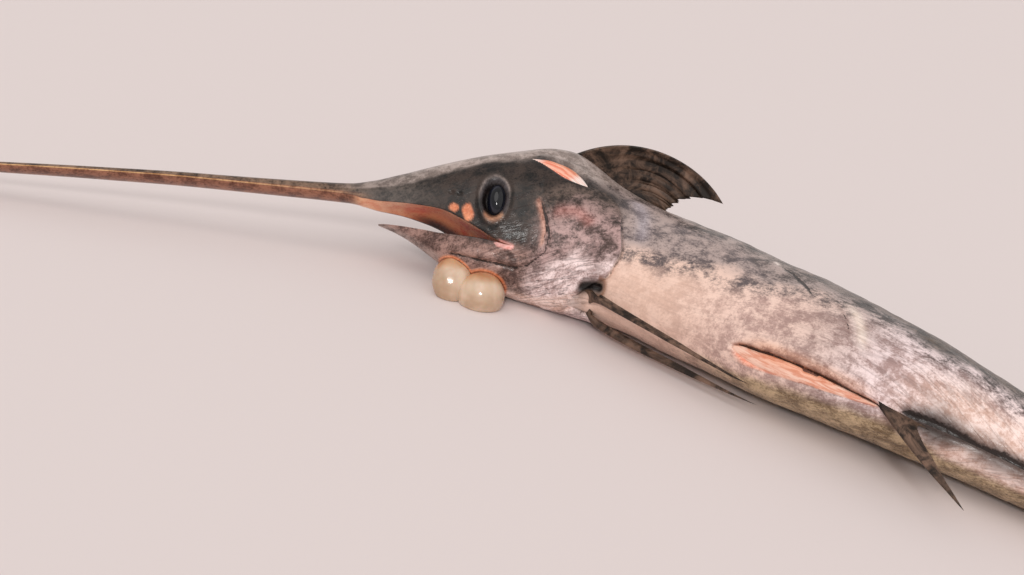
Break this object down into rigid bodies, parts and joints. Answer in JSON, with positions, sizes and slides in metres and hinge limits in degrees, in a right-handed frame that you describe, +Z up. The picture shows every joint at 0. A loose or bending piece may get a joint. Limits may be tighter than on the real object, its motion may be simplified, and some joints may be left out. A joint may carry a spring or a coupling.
{
  "type": "swordfish",
  "caption": "Life-size still model of a caught swordfish lying on its right side, mouth ajar, with its long flat bill, sickle fins, side keels and crescent tail.",
  "frame": {"origin": "the middle of the whole part's outline on the floor it lies on", "axes": "+X from the bill towards the tail, +Y to the side of the fish's back, +Z up"},
  "size_m": [2.3034, 1.0608, 0.2311],
  "materials": {
    "skin_back": "wet, dark charcoal skin",
    "skin_flank": "wet, mottled pinkish grey skin",
    "skin_belly": "wet, pale peach skin",
    "skin_cheek": "wet, purple-grey skin",
    "bill": "smooth, brown-grey bill",
    "fin": "dark fin with fine rays",
    "eye": "glossy blue-black eye",
    "membrane": "smooth, wet beige membrane"
  },
  "bodies": {
    "root": {"bill": "bill", "head": "skin_back", "lower_jaw": "skin_cheek", "trunk_front": "skin_belly", "trunk_middle": "skin_flank", "trunk_rear": "skin_flank", "tail_stem_front": "skin_back", "tail_stem": "skin_back", "eye_left": "eye", "eye_right": "eye", "gill_cover_left": "skin_cheek", "gill_cover_right": "skin_cheek", "keel_left": "skin_back", "keel_right": "skin_back", "throat": "membrane", "dorsal_fin_first": "fin", "dorsal_fin_second": "fin", "anal_fin_first": "fin", "anal_fin_second": "fin", "pectoral_fin_left": "fin", "pectoral_fin_right": "fin", "caudal_fin_upper": "fin", "caudal_fin_lower": "fin"}
  },
  "joints": []
}
